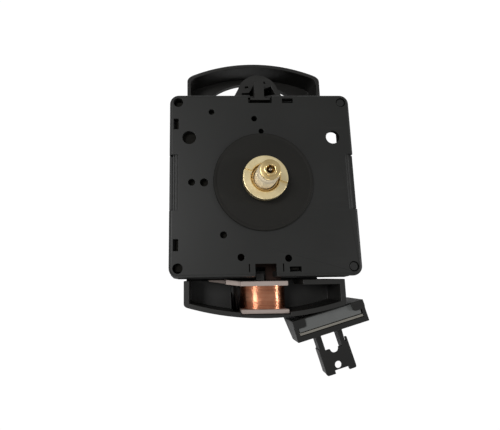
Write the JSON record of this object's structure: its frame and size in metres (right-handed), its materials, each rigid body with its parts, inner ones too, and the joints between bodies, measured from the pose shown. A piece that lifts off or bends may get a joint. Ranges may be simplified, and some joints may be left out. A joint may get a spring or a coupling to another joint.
{
  "type": "quartz clock movement with pendulum drive",
  "caption": "Square quartz clock movement with a threaded hand shaft, hanger loop, battery bay, drive coil tray and a swinging pendulum hook.",
  "frame": {"origin": "on the hand shaft's axis, in the plane of the frame's back that rests on the wall", "axes": "+Z out of the dial face along the hand shaft, +Y towards the hanger loop, +X to the right seen from the dial side"},
  "size_m": [0.0603, 0.1041, 0.0356],
  "materials": {
    "black_plastic": "satin moulded black",
    "rubber": "matt dark rubber",
    "brass": "bright turned brass",
    "cream_plastic": "satin cream",
    "white_plastic": "natural white",
    "steel": "bright rolled steel",
    "ferrite": "matt grey sintered",
    "copper": "enamelled copper wire",
    "board": "brown laminate",
    "epoxy": "black potting"
  },
  "bodies": {
    "movement": {"front_cover": "black_plastic", "rear_case": "black_plastic", "rubber_washer": "rubber", "centre_bush": "brass", "bush_nut": "brass", "train_bridge": "black_plastic", "stator": "steel", "motor_core": "steel", "motor_bobbin": "white_plastic", "motor_winding": "copper", "circuit_board": "board", "quartz_crystal": "steel", "chip_cap": "epoxy", "positive_contact": "steel", "negative_contact": "steel", "pendulum_frame": "black_plastic", "pivot_pin": "steel", "coil_bobbin": "white_plastic", "coil_core": "copper", "coil_winding": "copper", "frame_screw_1": "steel", "frame_screw_2": "steel"},
    "hour_hand_drive": {"hour_wheel": "cream_plastic"},
    "minute_hand_drive": {"minute_arbor": "brass"},
    "centre_wheel": {"centre_wheel": "white_plastic"},
    "seconds_hand_drive": {"seconds_arbor": "brass", "seconds_wheel": "white_plastic"},
    "third_wheel": {"third_wheel": "white_plastic"},
    "intermediate_wheel": {"intermediate_wheel": "white_plastic"},
    "rotor": {"rotor_pinion": "white_plastic", "rotor_magnet": "ferrite"},
    "minute_work_wheel": {"minute_work_wheel": "white_plastic"},
    "setting_knob": {"setting_knob": "black_plastic"},
    "pendulum": {"pendulum_arm": "black_plastic", "pendulum_magnet": "ferrite", "yoke_plate": "steel", "rod_hook": "black_plastic"}
  },
  "joints": [
    {"name": "seconds_spin", "type": "hinge", "parent": "movement", "child": "seconds_hand_drive", "pos_m": [0, 0, 0], "axis": [0, 0, 1], "continuous": true},
    {"name": "intermediate_spin", "type": "hinge", "parent": "movement", "child": "intermediate_wheel", "pos_m": [0.00264, -0.00457, 0], "axis": [0, 0, 1], "continuous": true},
    {"name": "rotor_spin", "type": "hinge", "parent": "movement", "child": "rotor", "pos_m": [0.00659, -0.00601, 0], "axis": [0, 0, 1], "continuous": true},
    {"name": "third_spin", "type": "hinge", "parent": "movement", "child": "third_wheel", "pos_m": [0.00306, 0.0053, 0], "axis": [0, 0, 1], "continuous": true},
    {"name": "centre_wheel_spin", "type": "hinge", "parent": "movement", "child": "centre_wheel", "pos_m": [0, 0, 0], "axis": [0, 0, 1], "continuous": true},
    {"name": "minute_spin", "type": "hinge", "parent": "movement", "child": "minute_hand_drive", "pos_m": [0, 0, 0], "axis": [0, 0, 1], "continuous": true},
    {"name": "minute_work_spin", "type": "hinge", "parent": "movement", "child": "minute_work_wheel", "pos_m": [0.00624, 0.0036, 0], "axis": [0, 0, 1], "continuous": true},
    {"name": "hour_spin", "type": "hinge", "parent": "movement", "child": "hour_hand_drive", "pos_m": [0, 0, 0], "axis": [0, 0, 1], "continuous": true},
    {"name": "knob_spin", "type": "hinge", "parent": "movement", "child": "setting_knob", "pos_m": [0.013, 0.00606, 0], "axis": [0, 0, 1], "continuous": true},
    {"name": "pendulum_swing", "type": "hinge", "parent": "movement", "child": "pendulum", "pos_m": [0, 0.03, 0], "axis": [0, 0, 1], "range_deg": [-31.4, 0]}
  ],
  "couplings": [
    {"joint": "intermediate_spin", "follows": "seconds_spin", "ratio": -5},
    {"joint": "rotor_spin", "follows": "seconds_spin", "ratio": 30},
    {"joint": "third_spin", "follows": "seconds_spin", "ratio": -0.13333},
    {"joint": "centre_wheel_spin", "follows": "seconds_spin", "ratio": 0.016667},
    {"joint": "minute_work_spin", "follows": "minute_spin", "ratio": -0.33333},
    {"joint": "hour_spin", "follows": "minute_spin", "ratio": 0.083333},
    {"joint": "knob_spin", "follows": "minute_spin", "ratio": 1}
  ]
}
